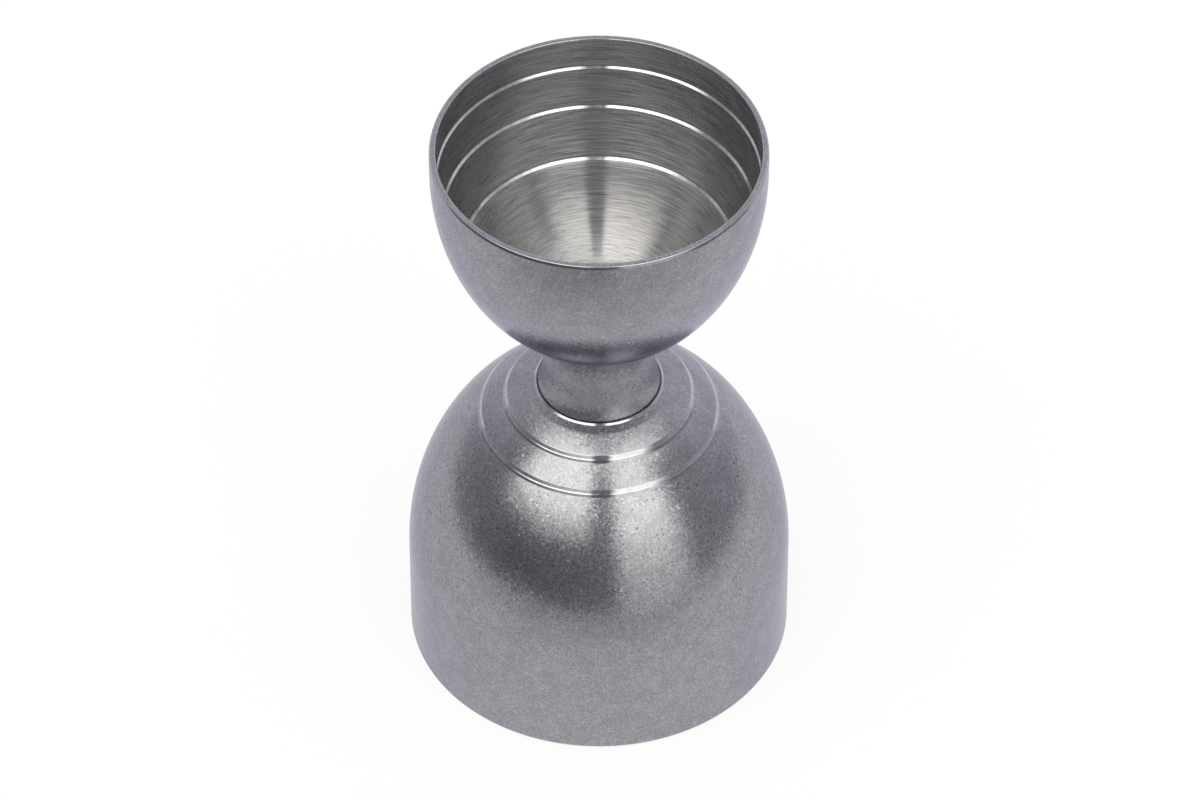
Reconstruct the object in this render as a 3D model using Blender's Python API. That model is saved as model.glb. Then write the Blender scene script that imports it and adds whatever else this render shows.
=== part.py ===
"""Bell jigger: a small cup and a large bell cup joined end to end by a waisted neck.

Every piece is turned about the Z axis. The large cup stands mouth down on z = 0, the neck spool
stands on its crown, and the small cup stands on the neck with its mouth up. Inside the neck a stud
screws into a boss on each cup and clamps the neck between them. Lengths are in metres.
"""
import math

import bmesh
import bpy

# Large cup: a straight skirt at the mouth that runs into a quarter ellipse.
BELL_RADIUS = 0.0257
BELL_SKIRT = 0.0141
BELL_RISE = 0.0313
BELL_WALL = 0.0014

# Measuring ledges in the large cup, as depths from its mouth.
BELL_LARGE_MARK = 0.0096
BELL_MIDDLE_MARK = 0.0177
BELL_SMALL_MARK = 0.0264

# Raised rings round the large cup's crown, counted from the neck outwards.
SHOULDER_WIDTH = 0.0007
INNER_LAND = 0.00364
INNER_STEP = 0.0005
INNER_BEVEL = 0.0006
OUTER_LAND = 0.00336
OUTER_STEP = 0.0002
OUTER_BEVEL = 0.0006

# Small cup: the same kind of shape, with a short straight lip and a deep bowl.
CUP_RADIUS = 0.0219
CUP_LIP = 0.0033
CUP_RISE = 0.0280
CUP_WALL = 0.00085

# Measuring ledges in the small cup, as depths from its rim.
CUP_LARGE_MARK = 0.0048
CUP_MIDDLE_MARK = 0.0110
CUP_SMALL_MARK = 0.0180

# Details that both cups share.
LEDGE_WIDTH = 0.0003
RIM_ROUND = 0.0002

# Neck spool, waisted half way up.
NECK_LENGTH = 0.0120
NECK_FOOT_RADIUS = 0.0082
NECK_WAIST_RADIUS = 0.0074
NECK_TOP_RADIUS = 0.0080
NECK_CHAMFER = 0.0002
PAD_MARGIN = 0.0002

# Hidden joint inside the neck.
STUD_RADIUS = 0.0025
STUD_CHAMFER = 0.0004
BOSS_WALL = 0.0021
BOSS_FLOOR = 0.0010
BOSS_CHAMFER = 0.0003
BOSS_SPACING = 0.0025

# Clearance between pieces that seat on or pass through each other.
FIT_GAP = 0.0003

# Facets round a turn and points along each stretch of a profile.
CUP_FACETS = 48
SMALL_FACETS = 32
DOME_POINTS = 10
LAND_POINTS = 2
INSIDE_POINTS = 4
ROUND_POINTS = 2
NECK_POINTS = 5

SHARP_ANGLE = math.radians(25)
WELD_DISTANCE = 1e-7

TUMBLED_STEEL = (0.42, 0.41, 0.42, 1.0)
TURNED_STEEL = (0.55, 0.55, 0.56, 1.0)


def ellipse_depth(r, radius, straight, rise):
    """Depth from the mouth at which a cup's outline has radius r."""
    return straight + rise * math.sqrt(1 - (r / radius) ** 2)


def wall_curve(radius, straight, rise, start, end, steps):
    """Points from one depth to another along a straight wall and the quarter ellipse beyond it."""
    if end <= straight:
        return [(radius, start), (radius, end)]
    first = math.asin(max(0.0, start - straight) / rise)
    last = math.asin((end - straight) / rise)
    points = [(radius, start)] if start < straight else []
    for index in range(steps + 1):
        angle = first + (last - first) * index / steps
        points.append((radius * math.cos(angle), straight + rise * math.sin(angle)))
    return points


def rim(radius, wall):
    """Rounded rim from the outer wall, over a flat land at depth 0, to the inner wall."""
    outer, inner = [], []
    for index in range(ROUND_POINTS + 1):
        angle = math.pi / 2 * index / ROUND_POINTS
        shift = RIM_ROUND * (1 - math.cos(angle))
        depth = RIM_ROUND * (1 - math.sin(angle))
        outer.append((radius - shift, depth))
        inner.append((radius - wall + shift, depth))
    return outer + inner[::-1]


def inside(radius, straight, rise, marks, floor_radius):
    """Inner wall from the rim to the floor's centre, stepped in by a ledge at each mark."""
    floor_depth = ellipse_depth(floor_radius, radius, straight, rise)
    stops = [RIM_ROUND] + sorted(marks) + [floor_depth]
    points = []
    for index, (start, end) in enumerate(zip(stops, stops[1:])):
        ledge = LEDGE_WIDTH if index else 0.0
        for r, depth in wall_curve(radius, straight, rise, start, end, INSIDE_POINTS):
            points.append((r - ledge * (end - depth) / (end - start), depth))
    return points[1:] + [(0.0, floor_depth)]


def crown_band(outer_r, inner_r, lift):
    """Stretch of the bell's dome between two radii, lifted clear of the plain dome."""
    points = []
    for index in range(LAND_POINTS + 1):
        r = outer_r + (inner_r - outer_r) * index / LAND_POINTS
        points.append((r, ellipse_depth(r, BELL_RADIUS, BELL_SKIRT, BELL_RISE) + lift))
    return points


def turned(name, profile, facets, material, closed=False):
    """Solid of revolution about Z from points of radius and height, as a new object."""
    bm = bmesh.new()
    verts = [bm.verts.new((r, 0.0, z)) for r, z in profile]
    pairs = list(zip(verts, verts[1:]))
    if closed:
        pairs.append((verts[-1], verts[0]))
    edges = [bm.edges.new(pair) for pair in pairs]
    bmesh.ops.spin(bm, geom=verts + edges, axis=(0, 0, 1), cent=(0, 0, 0),
                   angle=2 * math.pi, steps=facets, use_merge=True)
    bmesh.ops.remove_doubles(bm, verts=bm.verts[:], dist=WELD_DISTANCE)
    bmesh.ops.recalc_face_normals(bm, faces=bm.faces[:])
    mesh = bpy.data.meshes.new(name)
    bm.to_mesh(mesh)
    bm.free()
    mesh.materials.append(material)
    mesh.shade_smooth()
    mesh.set_sharp_from_angle(angle=SHARP_ANGLE)
    piece = bpy.data.objects.new(name, mesh)
    bpy.context.scene.collection.objects.link(piece)
    return piece


def steel(name, color, roughness):
    """Bare steel."""
    material = bpy.data.materials.new(name)
    material.use_nodes = True
    shader = material.node_tree.nodes["Principled BSDF"]
    shader.inputs["Base Color"].default_value = color
    shader.inputs["Metallic"].default_value = 1.0
    shader.inputs["Roughness"].default_value = roughness
    return material


def large_cup(shoulder_radius, seat):
    """Bell cup, mouth down at its own z = 0, with a flat seat on its crown for the neck."""
    inner_ring = shoulder_radius + INNER_LAND
    outer_ring = inner_ring + OUTER_LAND
    dome_top = ellipse_depth(outer_ring + OUTER_BEVEL / 2, BELL_RADIUS, BELL_SKIRT, BELL_RISE)
    outline = wall_curve(BELL_RADIUS, BELL_SKIRT, BELL_RISE, RIM_ROUND, dome_top, DOME_POINTS)
    outline += crown_band(outer_ring - OUTER_BEVEL / 2, inner_ring + INNER_BEVEL / 2, OUTER_STEP)
    outline += crown_band(inner_ring - INNER_BEVEL / 2, shoulder_radius, OUTER_STEP + INNER_STEP)
    outline.append((0.0, seat))
    marks = (BELL_LARGE_MARK, BELL_MIDDLE_MARK, BELL_SMALL_MARK)
    hollow = inside(BELL_RADIUS - BELL_WALL, BELL_SKIRT, BELL_RISE - BELL_WALL, marks,
                    shoulder_radius - BELL_WALL)
    profile = outline[:0:-1] + rim(BELL_RADIUS, BELL_WALL) + hollow
    material = steel("large_cup_steel", TUMBLED_STEEL, 0.38)
    return turned("large_cup", profile, CUP_FACETS, material)


def small_cup(pad_radius, pad_depth):
    """Small cup, built mouth down like the large one, with a flat pad where the neck meets it."""
    outline = wall_curve(CUP_RADIUS, CUP_LIP, CUP_RISE, RIM_ROUND, pad_depth, DOME_POINTS)
    outline.append((0.0, pad_depth))
    marks = (CUP_LARGE_MARK, CUP_MIDDLE_MARK, CUP_SMALL_MARK)
    hollow = inside(CUP_RADIUS - CUP_WALL, CUP_LIP, CUP_RISE - CUP_WALL, marks, pad_radius)
    profile = outline[:0:-1] + rim(CUP_RADIUS, CUP_WALL) + hollow
    material = steel("small_cup_steel", TUMBLED_STEEL, 0.38)
    return turned("small_cup", profile, CUP_FACETS, material)


def neck_spool(bore):
    """Waisted sleeve with a chamfered edge at its foot and its top."""
    waist = NECK_LENGTH / 2
    profile = [(bore, 0.0), (NECK_FOOT_RADIUS - NECK_CHAMFER, 0.0)]
    for index in range(-NECK_POINTS, NECK_POINTS + 1):
        share = index / NECK_POINTS
        end_radius = NECK_TOP_RADIUS if share > 0 else NECK_FOOT_RADIUS
        r = NECK_WAIST_RADIUS + (end_radius - NECK_WAIST_RADIUS) * share ** 2
        profile.append((r, waist + (waist - NECK_CHAMFER) * share))
    profile += [(NECK_TOP_RADIUS - NECK_CHAMFER, NECK_LENGTH), (bore, NECK_LENGTH)]
    material = steel("neck_spool_steel", TUMBLED_STEEL, 0.38)
    return turned("neck_spool", profile, CUP_FACETS, material, closed=True)


def boss(name, radius, height):
    """Boss that stands on its own z = 0, with a blind hole for the stud in its top."""
    hole = STUD_RADIUS + FIT_GAP
    profile = [(0.0, BOSS_FLOOR), (hole, BOSS_FLOOR), (hole, height), (radius - BOSS_CHAMFER, height),
               (radius, height - BOSS_CHAMFER), (radius, 0.0), (0.0, 0.0)]
    return turned(name, profile, SMALL_FACETS, steel(name + "_steel", TURNED_STEEL, 0.3))


def joining_stud(length):
    """Plain stud with a chamfer at each end, standing on its own z = 0."""
    tip = STUD_RADIUS - STUD_CHAMFER
    profile = [(0.0, 0.0), (tip, 0.0), (STUD_RADIUS, STUD_CHAMFER),
               (STUD_RADIUS, length - STUD_CHAMFER), (tip, length), (0.0, length)]
    return turned("joining_stud", profile, SMALL_FACETS, steel("joining_stud_steel", TURNED_STEEL, 0.3))


def place(piece, parent, height, flipped=False):
    """Stand a piece on the common axis at a height, upside down where it hangs from its seat."""
    piece.parent = parent
    piece.location = (0.0, 0.0, height)
    if flipped:
        piece.rotation_euler = (math.pi, 0.0, 0.0)


def main():
    for old in list(bpy.data.objects):
        bpy.data.objects.remove(old, do_unlink=True)
    axis = bpy.data.objects.new("jigger_axis", None)
    bpy.context.scene.collection.objects.link(axis)

    # Heights up the stack, each from the one below it.
    shoulder_radius = NECK_FOOT_RADIUS + SHOULDER_WIDTH
    crown = ellipse_depth(shoulder_radius, BELL_RADIUS, BELL_SKIRT, BELL_RISE)
    seat = crown + OUTER_STEP + INNER_STEP
    pad = seat + NECK_LENGTH + 2 * FIT_GAP
    pad_radius = NECK_TOP_RADIUS + PAD_MARGIN
    cup_depth = ellipse_depth(pad_radius, CUP_RADIUS, CUP_LIP, CUP_RISE)

    # The bosses share the room between the cups, and the stud spans their two holes.
    boss_radius = STUD_RADIUS + FIT_GAP + BOSS_WALL
    boss_height = (pad - seat - 2 * FIT_GAP - BOSS_SPACING) / 2
    stud_inset = 2 * FIT_GAP + BOSS_FLOOR

    place(large_cup(shoulder_radius, seat), axis, 0.0)
    place(neck_spool(boss_radius + FIT_GAP), axis, seat + FIT_GAP)
    place(small_cup(pad_radius, cup_depth), axis, pad + cup_depth, flipped=True)
    place(boss("bell_boss", boss_radius, boss_height), axis, seat + FIT_GAP)
    place(boss("cup_boss", boss_radius, boss_height), axis, pad - FIT_GAP, flipped=True)
    place(joining_stud(pad - seat - 2 * stud_inset), axis, seat + stud_inset)


main()
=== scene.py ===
"""Studio scene of a bell jigger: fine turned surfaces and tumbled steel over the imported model."""
import math

import bmesh
import bpy
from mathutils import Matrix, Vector

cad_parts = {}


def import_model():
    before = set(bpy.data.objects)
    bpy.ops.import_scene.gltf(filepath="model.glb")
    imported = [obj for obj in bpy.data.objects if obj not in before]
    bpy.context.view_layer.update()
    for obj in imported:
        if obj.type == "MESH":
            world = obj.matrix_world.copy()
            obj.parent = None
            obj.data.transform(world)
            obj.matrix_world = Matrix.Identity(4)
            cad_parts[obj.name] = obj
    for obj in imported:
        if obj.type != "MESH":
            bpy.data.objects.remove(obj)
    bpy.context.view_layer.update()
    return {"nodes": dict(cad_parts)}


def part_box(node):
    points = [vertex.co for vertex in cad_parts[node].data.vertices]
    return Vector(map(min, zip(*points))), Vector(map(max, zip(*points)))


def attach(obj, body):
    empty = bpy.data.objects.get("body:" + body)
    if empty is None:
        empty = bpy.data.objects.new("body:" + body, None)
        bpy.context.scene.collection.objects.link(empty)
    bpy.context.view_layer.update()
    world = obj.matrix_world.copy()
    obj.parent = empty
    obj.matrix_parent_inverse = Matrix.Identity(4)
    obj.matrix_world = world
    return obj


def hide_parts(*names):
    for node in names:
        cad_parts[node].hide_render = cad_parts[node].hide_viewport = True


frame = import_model()

MM = 0.001

# The large cup: a straight skirt that runs into a quarter ellipse.
BELL_SKIRT = 14.1 * MM
BELL_RISE = 31.3 * MM
BELL_WALL = 1.4 * MM
BELL_MARKS = (9.6 * MM, 17.7 * MM, 26.4 * MM)

# Its crown: a low collar round the neck, a cone, and two rings that each step down twice.
COLLAR_RADIUS = 8.62 * MM
COLLAR_WIDTH = 0.24 * MM
COLLAR_SLOPE = 0.95
COLLAR_BORE = 8.21 * MM
COLLAR_ROUND = 0.08 * MM
KNEE_RADIUS = 9.7 * MM
KNEE_ROUND = 2.5 * MM
CROWN_SLOPE = 0.62
INNER_RING = 12.83 * MM
OUTER_RING = 16.19 * MM
RISER_WIDTHS = (0.27 * MM, 0.20 * MM)
RISER_SLOPE = 1.45
STEP_WIDTH = 0.12 * MM
STEP_SLOPE = 0.84
RING_ROUND = 0.25 * MM

# The small cup: a short straight lip and a deep bowl.
CUP_LIP = 3.3 * MM
CUP_RISE = 28.55 * MM
CUP_HOLLOW = 27.15 * MM
CUP_FLOOR = 8.2 * MM
CUP_WALL = 0.85 * MM
CUP_MARKS = (4.8 * MM, 11.0 * MM, 18.0 * MM)

# The neck: waisted, with a foot that is cut back inside the large cup's collar.
NECK_WAIST = 7.4 * MM
NECK_TOP = 8.4 * MM
TOP_POWER = 2
FOOT_POWER = 4
FOOT_RADIUS = 8.15 * MM
FOOT_HEIGHT = 0.15 * MM
CREASE_HEIGHT = 0.26 * MM
SEAM = 0.05 * MM

# Rims, and the groove turned into each cup at a measuring mark.
RIM_ROUND = 0.3 * MM
RIM_CORNER = 0.1 * MM
RIM_DROP = 0.42 * MM
RIM_LEAN = 0.13 * MM
RIM_EDGE = 0.12 * MM
GROOVE_WIDTH = 0.3 * MM
GROOVE_DROP = 0.25 * MM
GROOVE_CUT = 0.15 * MM
GROOVE_ROUND = 0.06 * MM

# How finely outlines are divided. A round takes up at most a share of the stretch on either side of it.
TURN_STEPS = 256
DOME_STEPS = 48
INSIDE_STEPS = 12
BAND_STEPS = 8
NECK_STEPS = 36
ROUND_STEPS = 5
ROUND_SHARE = 0.49

# A point of an outline that is nearer to the axis than this lies on it.
ON_AXIS = 1e-7

# Material slots on each turned piece. The riser slot's darker colour is painted shade in the rings' creases,
# and the small cup's leaning rim top takes it too.
OUTSIDE, INSIDE, EDGE, GROOVE, RISER = 0, 1, 2, 3, 4

# Ranges below are for Graph.ease: from, to, and the results there unless 0 and 1. Places are in metres.

# Tumbled steel.
TUMBLED_COLOR = (0.310, 0.302, 0.327)
TUMBLED_TINT = (0.78, 0.79, 0.88)
DENT_SCALE = 3800.0
DENT_DETAIL = 2.0
DENT_TONE = (0.35, 0.65, -0.13, 0.13)
DENT_ROUGHNESS = (0.3, 0.7, 0.20, 0.26)
DENT_STRENGTH = 0.5
DENT_DEPTH = 6e-6
PATCH_SCALE = 420.0
PATCH_DETAIL = 3.0
PATCH_TONE = (0.35, 0.65, 0.94, 1.06)
FACET_SCALE = 4200.0
FACET_TILT = (0.5, 1.0, 0.04, 0.11)
FLECK_TONE = (0.78, 0.95, 0.0, 0.22)
PIT_TONE = (0.04, 0.13, -0.56, 0.0)
PIT_PATCHES = (0.4, 0.65, 0.25, 1.0)
PITS_BELOW = (0.014, 0.026, 0.3, 1.0)
PITS_ABOVE = (0.0365, 0.041, 1.0, 0.35)
SHOULDER_INNER = (0.0082, 0.0087, 0.10, 0.18)
SHOULDER_OUTER = (0.0090, 0.0128, 1.0, 0.0)
SHOULDER_TILT = 0.45
MID_GREY = (0.5, 0.5, 0.5)

# Turned steel.
TURNED_COLOR = (0.364, 0.358, 0.365)
TURNED_TINT = (0.85, 0.85, 0.86)
TURNED_METALLIC = 0.86
QUARTER_TURN = 0.25
TURN_SCALE = 7000.0
ARC_SCALE = 4.0
RING_SCALE = 0.9
RING_DETAIL = 0.0
RING_TONE = (0.3, 0.7, 0.90, 1.10)
RING_ROUGHNESS = (0.3, 0.7, 0.21, 0.25)
RING_STRENGTH = 0.1
RING_DEPTH = 5e-6
LINE_SCALE = 1.6
LINE_DETAIL = 1.0
DARK_LINES = (0.54, 0.66, 0.0, -0.40)
LIGHT_LINES = (0.32, 0.44, 0.34, 0.0)
LINE_FADE = (0.062, 0.072, 0.7, 1.0)

# Burnished steel, and the darker riser colour that paints shade into the rings' creases.
EDGE_COLOR = (0.440, 0.432, 0.460)
GROOVE_COLOR = (0.55, 0.54, 0.55)
# Painted shade: a darker colour for the rings' lower risers, standing in for the shade in their creases.
RISER_SHADE_COLOR = (0.300, 0.294, 0.312)
BURNISHED_TINT = (0.80, 0.81, 0.88)
WEAR_SCALE = 1500.0
WEAR_DETAIL = 2.0
WEAR_TONE = (0.3, 0.7, 0.9, 1.1)
WEAR_ROUGHNESS = (0.3, 0.7, 0.06, 0.13)
WEAR_STRENGTH = 0.2
WEAR_DEPTH = 1e-5

# White paper: the sheet that reflections show, and the floor round it.
PAPER_COLOR = (0.85, 0.85, 0.85, 1)
PAPER_GLOW = 0.85
# Painted shade in reflections of the sheet: its glow dims towards the front and the left.
PAPER_FRONT_SHADE = (-0.10, -0.02, 0.65, 1.0)
PAPER_LEFT_SHADE = (-0.05, 0.0, 0.93, 1.0)
SHEET = ((-0.10, -0.12), (0.10, -0.12), (0.14, -0.06), (2.0, 2.0), (-2.0, 2.0), (-0.14, -0.06))
SHEET_LEVEL = -0.0002
FLOOR = ((-3.0, -3.0), (3.0, -3.0), (3.0, 3.0), (-3.0, 3.0))
FLOOR_LEVEL = -0.0004

# Light tent: ranges over the direction's X or Y, or over its elevation or azimuth in degrees.
ROOM_COLOR = (0.95, 0.97, 1.04)
ROOM_FRONT = (-0.6, 0.1, 0.27, 0.43)
ROOM_BACK = (0.1, 0.8, 0.0, 0.34)
ROOM_SIDES = (-1.0, 1.0, -0.06, 0.10)
BACK_FOOT = (6, 34, 0.0, 0.24)
BACK_HEAD = (34, 48, 1.0, 0.1)
BACK_START = (0.0, 0.3)
LAMP_COLOR = (1.01, 1.0, 0.92)
LEFT_SPAN = ((-86, -64), (-10, -4))
LEFT_LAMP = (14, 40, 0.0, 2.3)
RIGHT_SPAN = ((9, 16), (46, 64))
RIGHT_LAMP = (-4, 36, 0.72, 2.05)
GAP_SPAN = ((-10, -4), (9, 16))
GAP_HEAD = (62, 76, 1.0, 0.0)
TOP_LAMP = (42, 60, 0.0, 1.75)
TOP_BACK = (0.05, 0.35, 1.0, 0.0)
SHADE = (60, 70, 0.0, 0.36)
SHADE_START = (0.0, 0.1)

# Camera: a long lens, with its distance and aim as multiples of the part's height.
PART_HEIGHT = 86.0 * MM
CAMERA_TILT = math.radians(45.153)
CAMERA_DISTANCE = 11.115 * PART_HEIGHT
CAMERA_AIM = 0.46947 * PART_HEIGHT
SENSOR_WIDTH = 36.0
PICTURE_WIDTH = 1200
FOCAL_PIXELS = 7189.1
SHIFT_PIXELS = 1.0


def ellipse_depth(r, radius, straight, rise):
    """Depth from the mouth at which a cup's outline has radius r."""
    return straight + rise * math.sqrt(max(0.0, 1 - (r / radius) ** 2))


def ellipse_radius(depth, radius, straight, rise):
    """Radius of a cup's outline at a depth from the mouth."""
    return radius * math.sqrt(1 - (max(0.0, depth - straight) / rise) ** 2)


def wall_curve(radius, straight, rise, start, end, steps):
    """Points from one depth to another along a straight wall and the quarter ellipse beyond it."""
    if end <= straight:
        return [(radius, start), (radius, end)]
    first = math.asin(max(0.0, start - straight) / rise)
    last = math.asin((end - straight) / rise)
    points = [(radius, start)] if start < straight else []
    for index in range(steps + 1):
        angle = first + (last - first) * index / steps
        points.append((radius * math.cos(angle), straight + rise * math.sin(angle)))
    return points


def arc(corner, before, after, rounding):
    """Points round a corner, from the ways that lead to the corners before and after it."""
    half = before.angle(after) / 2
    reach = min(rounding / math.tan(half), ROUND_SHARE * before.length, ROUND_SHARE * after.length)
    start = corner + before.normalized() * reach
    end = corner + after.normalized() * reach
    points = []
    for step in range(ROUND_STEPS + 1):
        t = step / ROUND_STEPS
        weights = ((1 - t) ** 2, 2 * t * (1 - t) * math.sin(half), t ** 2)
        point = start * weights[0] + corner * weights[1] + end * weights[2]
        points.append(point / sum(weights))
    return points


class Profile:
    """Outline of a turned piece: corners, each with the finish of the stretch that leads up to it."""

    def __init__(self):
        self.corners = []

    def add(self, r, z, finish, rounding=0.0, round_finish=EDGE):
        self.corners.append((Vector((r, z)), finish, rounding, round_finish))

    def run(self, points, finish):
        for r, z in points:
            self.add(r, z, finish)

    def points(self):
        """Points of the outline with their finishes, with each rounded corner swept through an arc."""
        made = []
        for index, (corner, finish, rounding, round_finish) in enumerate(self.corners):
            if rounding == 0.0:
                made.append((corner, finish))
                continue
            before = self.corners[index - 1][0] - corner
            after = self.corners[(index + 1) % len(self.corners)][0] - corner
            for step, point in enumerate(arc(corner, before, after, rounding)):
                made.append((point, round_finish if step else finish))
        return made


def turned_ring(bm, point):
    """Vertices round the axis through a point of an outline, or a single one on the axis."""
    if point.x < ON_AXIS:
        return [bm.verts.new((0.0, 0.0, point.y))]
    ring = []
    for step in range(TURN_STEPS):
        angle = 2 * math.pi * step / TURN_STEPS
        ring.append(bm.verts.new((point.x * math.cos(angle), point.x * math.sin(angle), point.y)))
    return ring


def turned(name, profile, closed=False):
    """Smooth solid of revolution about Z."""
    points = profile.points()
    bm = bmesh.new()
    rings = [turned_ring(bm, point) for point, _ in points]
    pairs = list(zip(range(len(rings)), range(1, len(rings))))
    if closed:
        pairs.append((len(rings) - 1, 0))
    for low, high in pairs:
        a, b = rings[low], rings[high]
        for step in range(TURN_STEPS):
            after = (step + 1) % TURN_STEPS
            corners = [a[step % len(a)], a[after % len(a)], b[after % len(b)], b[step % len(b)]]
            face = bm.faces.new(list(dict.fromkeys(corners)))
            face.material_index = points[high][1]
            face.smooth = True
    bmesh.ops.recalc_face_normals(bm, faces=bm.faces[:])
    mesh = bpy.data.meshes.new(name)
    bm.to_mesh(mesh)
    bm.free()
    piece = bpy.data.objects.new(name, mesh)
    bpy.context.scene.collection.objects.link(piece)
    return piece


def add_groove(profile, place, hollow, mark):
    """Groove at a measuring mark: a lip that is cut under, and a ledge that stands in from the wall."""
    lip = ellipse_radius(mark - GROOVE_DROP, *hollow)
    wall = ellipse_radius(mark, *hollow)
    foot = ellipse_radius(mark + GROOVE_DROP / 2, *hollow) + GROOVE_CUT - GROOVE_WIDTH
    profile.add(lip, place(mark - GROOVE_DROP), INSIDE, GROOVE_ROUND, GROOVE)
    profile.add(wall + GROOVE_CUT, place(mark), INSIDE, GROOVE_ROUND, GROOVE)
    profile.add(foot, place(mark + GROOVE_DROP), GROOVE, GROOVE_ROUND, GROOVE)


def add_inside(profile, place, hollow, marks, floor_radius):
    """Inner wall from the rim to the floor's centre, with a turned groove at each mark."""
    floor_depth = ellipse_depth(floor_radius, *hollow)
    stops = [2 * RIM_ROUND] + sorted(marks) + [floor_depth]
    for index, (start, end) in enumerate(zip(stops, stops[1:])):
        if index:
            add_groove(profile, place, hollow, start)
            start = start + 2 * GROOVE_DROP
        if index < len(marks):
            end = end - 2 * GROOVE_DROP
        for r, depth in wall_curve(*hollow, start, end, INSIDE_STEPS):
            inset = 0.0
            if index:
                inset = (GROOVE_WIDTH - GROOVE_CUT) * (end - depth) / (end - start)
            profile.add(r - inset, place(depth), INSIDE)
    profile.add(0.0, place(floor_depth), INSIDE)


def crown_ring(r, z):
    """Corners of a stepped ring, from its upper edge out to its foot at (r, z)."""
    upper, lower = RISER_WIDTHS
    corners = [(r, z)]
    for width, slope in ((lower, RISER_SLOPE), (STEP_WIDTH, STEP_SLOPE), (upper, RISER_SLOPE)):
        r, z = r - width, z + width * slope
        corners.append((r, z))
    return corners[::-1]


def add_ring(profile, corners):
    """Stepped ring at the end of a band: bright above, with painted shade, a darker colour, down its lower
    riser.
    """
    for (r, z), finish in zip(corners, (OUTSIDE, EDGE, EDGE, RISER)):
        profile.add(r, z, finish, RING_ROUND, RISER if finish == RISER else EDGE)


def add_crown(profile, seat, dome):
    """Seat and collar for the neck, then the cone and both rings, out to the foot of the outer one."""
    outer = crown_ring(OUTER_RING, dome(OUTER_RING))
    band_edge, band_top = outer[0]
    lift = band_top - dome(band_edge)
    inner = crown_ring(INNER_RING, dome(INNER_RING) + lift)
    cone_edge, cone_foot = inner[0]
    knee = cone_foot + CROWN_SLOPE * (cone_edge - KNEE_RADIUS)
    collar_top = seat + COLLAR_SLOPE * COLLAR_WIDTH

    profile.add(0.0, seat, OUTSIDE)
    profile.add(COLLAR_BORE, seat, OUTSIDE)
    profile.add(COLLAR_BORE, collar_top, OUTSIDE)
    profile.add(COLLAR_RADIUS - COLLAR_WIDTH, collar_top, OUTSIDE, COLLAR_ROUND)
    profile.add(COLLAR_RADIUS, seat, EDGE, COLLAR_ROUND)
    profile.add(KNEE_RADIUS, knee, OUTSIDE, KNEE_ROUND, OUTSIDE)
    add_ring(profile, inner)
    for index in range(1, BAND_STEPS):
        r = INNER_RING + (band_edge - INNER_RING) * index / BAND_STEPS
        profile.add(r, dome(r) + lift, OUTSIDE)
    add_ring(profile, outer)


def large_cup():
    """Bell with its mouth down: crown, dome, skirt, rim and inside."""
    _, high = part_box("large_cup")
    radius, seat = high.x, high.z

    def dome(r):
        return ellipse_depth(r, radius, BELL_SKIRT, BELL_RISE)

    profile = Profile()
    add_crown(profile, seat, dome)
    outline = wall_curve(radius, BELL_SKIRT, BELL_RISE, RIM_ROUND, dome(OUTER_RING), DOME_STEPS)[::-1]
    profile.run(outline[1:-1], OUTSIDE)
    profile.add(radius, 0.0, OUTSIDE, RIM_ROUND)
    profile.add(radius - BELL_WALL, 0.0, OUTSIDE, RIM_CORNER, OUTSIDE)
    hollow = (radius - BELL_WALL, BELL_SKIRT, BELL_RISE - BELL_WALL)
    add_inside(profile, lambda depth: depth, hollow, BELL_MARKS, COLLAR_RADIUS - BELL_WALL)
    return turned("bell_measure", profile)


def small_cup():
    """Bowl with its mouth up: base, bowl, leaning rim and inside."""
    low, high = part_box("small_cup")
    radius, top, pad = high.x, high.z, low.z
    profile = Profile()
    profile.add(0.0, pad, OUTSIDE)
    outline = wall_curve(radius, CUP_LIP, CUP_RISE, RIM_ROUND, top - pad, DOME_STEPS)[::-1]
    profile.run([(r, top - depth) for r, depth in outline[:-1]], OUTSIDE)
    profile.add(radius, top - RIM_DROP, OUTSIDE, RIM_ROUND, OUTSIDE)
    # The rim's leaning top takes the riser's darker colour, the one that paints shade into the rings'
    # creases.
    profile.add(radius - RIM_LEAN, top, RISER, RIM_EDGE)
    profile.add(radius - CUP_WALL, top, OUTSIDE, RIM_CORNER)
    hollow = (radius - CUP_WALL, CUP_LIP, CUP_HOLLOW)
    add_inside(profile, lambda depth: top - depth, hollow, CUP_MARKS, CUP_FLOOR)
    return turned("small_measure", profile)


def neck_radius(z):
    """Radius of the neck's waisted side at a height."""
    low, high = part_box("neck_spool")
    share = (2 * z - low.z - high.z) / (high.z - low.z)
    if share > 0:
        return NECK_WAIST + (NECK_TOP - NECK_WAIST) * share ** TOP_POWER
    return NECK_WAIST + (high.x - NECK_WAIST) * share ** FOOT_POWER


def neck():
    """Waisted sleeve between the cups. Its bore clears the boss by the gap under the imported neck."""
    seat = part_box("large_cup")[1].z
    bottom, start = seat + SEAM, seat + CREASE_HEIGHT
    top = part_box("small_cup")[0].z - SEAM
    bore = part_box("bell_boss")[1].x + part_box("neck_spool")[0].z - seat
    profile = Profile()
    profile.add(bore, bottom, OUTSIDE)
    profile.add(FOOT_RADIUS, bottom, OUTSIDE)
    profile.add(FOOT_RADIUS, bottom + FOOT_HEIGHT, OUTSIDE)
    for index in range(NECK_STEPS + 1):
        z = start + (top - start) * index / NECK_STEPS
        profile.add(neck_radius(z), z, OUTSIDE)
    profile.add(bore, top, OUTSIDE)
    return turned("waisted_neck", profile, closed=True)


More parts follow.
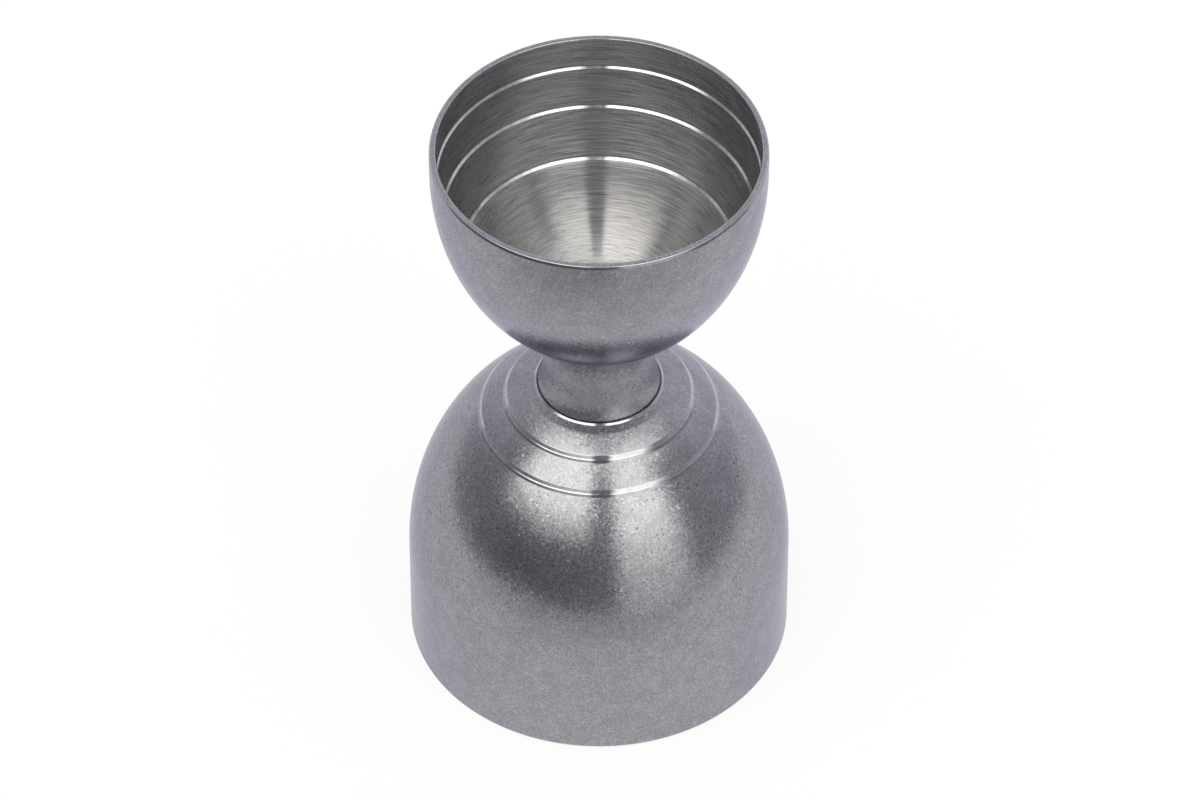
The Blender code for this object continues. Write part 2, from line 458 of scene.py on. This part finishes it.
class Graph:
    """Shorthand for building a node tree."""

    def __init__(self, tree):
        self.nodes = tree.nodes
        self.links = tree.links

    def node(self, kind, **settings):
        made = self.nodes.new("ShaderNode" + kind)
        for key, value in settings.items():
            setattr(made, key, value)
        return made

    def feed(self, socket, value):
        """Set a socket to a constant, or link it to another node's output."""
        if isinstance(value, bpy.types.NodeSocket):
            self.links.new(value, socket)
        else:
            socket.default_value = value

    def fed(self, made, values):
        """First output of a node, with its inputs set in order."""
        for socket, value in zip(made.inputs, values):
            self.feed(socket, value)
        return made.outputs[0]

    def math(self, operation, *values, clamp=False):
        return self.fed(self.node("Math", operation=operation, use_clamp=clamp), values)

    def plus(self, first, second):
        return self.math("ADD", first, second)

    def times(self, first, second):
        return self.math("MULTIPLY", first, second)

    def vector(self, operation, *values):
        return self.fed(self.node("VectorMath", operation=operation), values)

    def scaled(self, vector, factor):
        """A vector or a colour times a factor."""
        made = self.node("VectorMath", operation="SCALE")
        self.feed(made.inputs[0], vector)
        self.feed(made.inputs["Scale"], factor)
        return made.outputs[0]

    def join(self, *values):
        return self.fed(self.node("CombineXYZ"), values)

    def split(self, vector):
        made = self.node("SeparateXYZ")
        self.feed(made.inputs[0], vector)
        return made.outputs

    def ease(self, value, start, end, low=0.0, high=1.0):
        """Smooth step from low to high as a value goes from start to end."""
        made = self.node("MapRange", interpolation_type="SMOOTHSTEP")
        self.feed(made.inputs["Value"], value)
        made.inputs["From Min"].default_value = start
        made.inputs["From Max"].default_value = end
        made.inputs["To Min"].default_value = low
        made.inputs["To Max"].default_value = high
        return made.outputs["Result"]

    def noise(self, vector, scale, detail, fourth=None):
        made = self.node("TexNoise", noise_dimensions="3D" if fourth is None else "4D")
        self.feed(made.inputs["Vector"], vector)
        if fourth is not None:
            self.feed(made.inputs["W"], fourth)
        made.inputs["Scale"].default_value = scale
        made.inputs["Detail"].default_value = detail
        return made.outputs["Fac"]

    def cells(self, place, scale):
        """Cells of a fine pattern, each with a random colour and two random numbers."""
        made = self.node("TexVoronoi")
        self.feed(made.inputs["Vector"], place)
        made.inputs["Scale"].default_value = scale
        dice = self.node("TexWhiteNoise")
        self.feed(dice.inputs["Vector"], made.outputs["Position"])
        return made.outputs["Color"], dice.outputs["Value"], self.split(dice.outputs["Color"])[1]

    def tipped_normal(self, color, tilt):
        """Surface normal tipped in a direction that a random colour sets."""
        tip = self.scaled(self.vector("SUBTRACT", color, MID_GREY), tilt)
        normal = self.node("NewGeometry").outputs["Normal"]
        return self.vector("NORMALIZE", self.vector("ADD", normal, tip))

    def radius(self, place):
        """Distance from the turning axis, the sideways and forward shares of it, and the height."""
        x, y, z = self.split(place)
        radius = self.math("SQRT", self.plus(self.times(x, x), self.times(y, y)))
        return radius, self.math("DIVIDE", x, radius), self.math("DIVIDE", y, radius), z

    def bump(self, height, strength, distance, normal=None):
        made = self.node("Bump")
        made.inputs["Strength"].default_value = strength
        made.inputs["Distance"].default_value = distance
        self.feed(made.inputs["Height"], height)
        if normal is not None:
            self.feed(made.inputs["Normal"], normal)
        return made.outputs["Normal"]


def steel(name, edge_tint, metallic=1.0):
    """New bare metal: its node graph, shader and object coordinates."""
    material = bpy.data.materials.new(name)
    material.use_nodes = True
    graph = Graph(material.node_tree)
    shader = graph.nodes["Principled BSDF"]
    shader.inputs["Metallic"].default_value = metallic
    shader.inputs["Specular Tint"].default_value = (*edge_tint, 1.0)
    place = graph.node("TexCoord").outputs["Object"]
    return material, graph, shader, place


def tumbled_steel():
    """Dull steel, finely dented and flecked all over and rougher by the neck, with patches of dark pits."""
    material, graph, shader, place = steel("tumbled_steel", TUMBLED_TINT)
    radius, _, _, z = graph.radius(place)
    dents = graph.noise(place, DENT_SCALE, DENT_DETAIL)
    patch = graph.noise(place, PATCH_SCALE, PATCH_DETAIL)
    color, tip, dirt = graph.cells(place, FACET_SCALE)

    dome = graph.times(graph.ease(z, *PITS_BELOW), graph.ease(z, *PITS_ABOVE))
    pits = graph.times(graph.ease(dirt, *PIT_TONE), graph.ease(patch, *PIT_PATCHES))
    tone = graph.plus(graph.ease(patch, *PATCH_TONE), graph.times(pits, dome))
    tone = graph.plus(tone, graph.ease(dents, *DENT_TONE))
    tone = graph.plus(tone, graph.ease(tip, *FLECK_TONE))
    graph.feed(shader.inputs["Base Color"], graph.scaled(TUMBLED_COLOR, tone))

    shoulder = graph.times(graph.ease(radius, *SHOULDER_INNER), graph.ease(radius, *SHOULDER_OUTER))
    rough = graph.plus(graph.ease(dents, *DENT_ROUGHNESS), shoulder)
    graph.feed(shader.inputs["Roughness"], rough)

    tilt = graph.plus(graph.ease(tip, *FACET_TILT), graph.times(shoulder, SHOULDER_TILT))
    facets = graph.tipped_normal(color, tilt)
    graph.feed(shader.inputs["Normal"], graph.bump(dents, DENT_STRENGTH, DENT_DEPTH, facets))
    return material


def turned_steel():
    """Steel left from the lathe, with fine rings round the axis that spread light across them."""
    material, graph, shader, place = steel("turned_steel", TURNED_TINT, TURNED_METALLIC)
    shader.inputs["Anisotropic"].default_value = 1.0
    shader.inputs["Anisotropic Rotation"].default_value = QUARTER_TURN
    tangent = graph.node("Tangent", direction_type="RADIAL", axis="Z")
    graph.feed(shader.inputs["Tangent"], tangent.outputs["Tangent"])

    radius, across, along, z = graph.radius(place)
    section = (graph.times(radius, TURN_SCALE), graph.times(z, TURN_SCALE))
    turns = graph.join(*section, graph.times(across, ARC_SCALE))
    fourth = graph.times(along, ARC_SCALE)
    rings = graph.noise(turns, RING_SCALE, RING_DETAIL, fourth)
    lines = graph.noise(turns, LINE_SCALE, LINE_DETAIL, fourth)

    marks = graph.plus(graph.ease(lines, *DARK_LINES), graph.ease(lines, *LIGHT_LINES))
    marks = graph.times(marks, graph.ease(z, *LINE_FADE))
    tone = graph.plus(graph.ease(rings, *RING_TONE), marks)
    graph.feed(shader.inputs["Base Color"], graph.scaled(TURNED_COLOR, tone))
    graph.feed(shader.inputs["Roughness"], graph.ease(rings, *RING_ROUGHNESS))
    graph.feed(shader.inputs["Normal"], graph.bump(rings, RING_STRENGTH, RING_DEPTH))
    return material


def burnished_and_shaded_steel(name, color):
    """Edges and grooves that the tool left bright; with the riser colour, painted shade in the rings'
    creases.
    """
    material, graph, shader, place = steel(name, BURNISHED_TINT)
    wear = graph.noise(place, WEAR_SCALE, WEAR_DETAIL)
    graph.feed(shader.inputs["Base Color"], graph.scaled(color, graph.ease(wear, *WEAR_TONE)))
    graph.feed(shader.inputs["Roughness"], graph.ease(wear, *WEAR_ROUGHNESS))
    graph.feed(shader.inputs["Normal"], graph.bump(wear, WEAR_STRENGTH, WEAR_DEPTH))
    return material


def white_paper():
    """White to the camera; in reflections its glow carries painted shade, dimmer to the front and the left;
    the object's shadow is kept.
    """
    material = bpy.data.materials.new("white_paper")
    material.use_nodes = True
    graph = Graph(material.node_tree)
    graph.nodes.remove(graph.nodes["Principled BSDF"])
    diffuse = graph.node("BsdfDiffuse")
    diffuse.inputs["Color"].default_value = PAPER_COLOR
    path = graph.node("LightPath").outputs
    x, y, _ = graph.split(graph.node("TexCoord").outputs["Object"])
    glow = graph.node("Emission")
    # Painted shade: the glow that reflections see dims towards the front and the left.
    dim = graph.times(graph.ease(y, *PAPER_FRONT_SHADE), graph.ease(x, *PAPER_LEFT_SHADE))
    graph.feed(glow.inputs["Strength"], graph.math("MAXIMUM", dim, path["Is Camera Ray"]))
    seen = graph.plus(path["Is Camera Ray"], path["Is Glossy Ray"])
    seen = graph.plus(seen, path["Is Transmission Ray"])
    mix = graph.node("MixShader")
    graph.feed(mix.inputs["Fac"], graph.math("MULTIPLY", seen, PAPER_GLOW, clamp=True))
    graph.feed(mix.inputs[1], diffuse.outputs[0])
    graph.feed(mix.inputs[2], glow.outputs[0])
    graph.feed(graph.nodes["Material Output"].inputs["Surface"], mix.outputs[0])
    return material


def stage():
    """White sheet that widens to the back, on a wide white floor that reflections leave out."""
    paper = white_paper()
    for name, outline, level in (("sheet", SHEET, SHEET_LEVEL), ("floor", FLOOR, FLOOR_LEVEL)):
        mesh = bpy.data.meshes.new(name)
        mesh.from_pydata([(x, y, level) for x, y in outline], [], [range(len(outline))])
        mesh.materials.append(paper)
        piece = bpy.data.objects.new(name, mesh)
        bpy.context.scene.collection.objects.link(piece)
        piece.visible_glossy = name == "sheet"


def room_light(graph, x, y, elevation):
    """Soft light of the tent's walls, brighter to the right and to the back."""
    room = graph.plus(graph.ease(y, *ROOM_FRONT), graph.ease(y, *ROOM_BACK))
    room = graph.plus(room, graph.ease(x, *ROOM_SIDES))
    back = graph.times(graph.ease(elevation, *BACK_FOOT), graph.ease(elevation, *BACK_HEAD))
    return graph.plus(room, graph.times(back, graph.ease(y, *BACK_START)))


def lamp_light(graph, x, y, azimuth, elevation):
    """Lamps at both sides and overhead, with a gap between them in front and shade at the upper right."""

    def window(rise, fall):
        """One between the azimuths at which it fades in and those at which it fades out."""
        return graph.times(graph.ease(azimuth, *rise), graph.ease(azimuth, *fall, 1.0, 0.0))

    left = graph.times(window(*LEFT_SPAN), graph.ease(elevation, *LEFT_LAMP))
    right = graph.times(window(*RIGHT_SPAN), graph.ease(elevation, *RIGHT_LAMP))
    gap = graph.times(window(*GAP_SPAN), graph.ease(elevation, *GAP_HEAD))
    top = graph.times(graph.ease(elevation, *TOP_LAMP), graph.ease(y, *TOP_BACK))
    top = graph.times(top, graph.math("SUBTRACT", 1.0, gap))
    light = graph.math("MAXIMUM", graph.math("MAXIMUM", left, right), top)
    shade = graph.times(graph.ease(elevation, *SHADE), graph.ease(x, *SHADE_START))
    return graph.times(light, graph.math("SUBTRACT", 1.0, shade))


def world():
    """Light tent: bright overhead and at both sides, with a dark gap where the camera stands."""
    studio = bpy.data.worlds.new("studio")
    bpy.context.scene.world = studio
    studio.use_nodes = True
    graph = Graph(studio.node_tree)
    x, y, z = graph.split(graph.node("TexCoord").outputs["Generated"])
    azimuth = graph.math("DEGREES", graph.math("ARCTAN2", x, graph.times(y, -1.0)))
    elevation = graph.math("DEGREES", graph.math("ARCSINE", z))
    room = graph.scaled(ROOM_COLOR, room_light(graph, x, y, elevation))
    lamps = graph.scaled(LAMP_COLOR, lamp_light(graph, x, y, azimuth, elevation))
    graph.feed(graph.nodes["Background"].inputs["Color"], graph.vector("ADD", room, lamps))


def camera():
    """Long lens at the photograph's angle, about forty-five degrees above the floor."""
    data = bpy.data.cameras.new("camera")
    data.sensor_width = SENSOR_WIDTH
    data.lens = SENSOR_WIDTH * FOCAL_PIXELS / PICTURE_WIDTH
    data.shift_x = SHIFT_PIXELS / PICTURE_WIDTH
    piece = bpy.data.objects.new("camera", data)
    back = CAMERA_DISTANCE * math.cos(CAMERA_TILT)
    piece.location = (0.0, -back, CAMERA_AIM + CAMERA_DISTANCE * math.sin(CAMERA_TILT))
    piece.rotation_euler = (math.pi / 2 - CAMERA_TILT, 0.0, 0.0)
    bpy.context.scene.collection.objects.link(piece)
    bpy.context.scene.camera = piece


finishes = [
    tumbled_steel(),
    turned_steel(),
    burnished_and_shaded_steel("burnished_edge", EDGE_COLOR),
    burnished_and_shaded_steel("burnished_groove", GROOVE_COLOR),
    # Riser: painted shade, a darker colour in the rings' creases.
    burnished_and_shaded_steel("riser_painted_shade", RISER_SHADE_COLOR),
]
for build, node in ((large_cup, "large_cup"), (small_cup, "small_cup"), (neck, "neck_spool")):
    made = build()
    for finish in finishes:
        made.data.materials.append(finish)
    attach(made, "root")
    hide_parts(node)
for hidden in ("cup_boss", "bell_boss", "joining_stud"):
    frame["nodes"][hidden].data.materials.clear()
    frame["nodes"][hidden].data.materials.append(finishes[INSIDE])

camera()
stage()
world()
bpy.context.scene.view_settings.view_transform = "Standard"
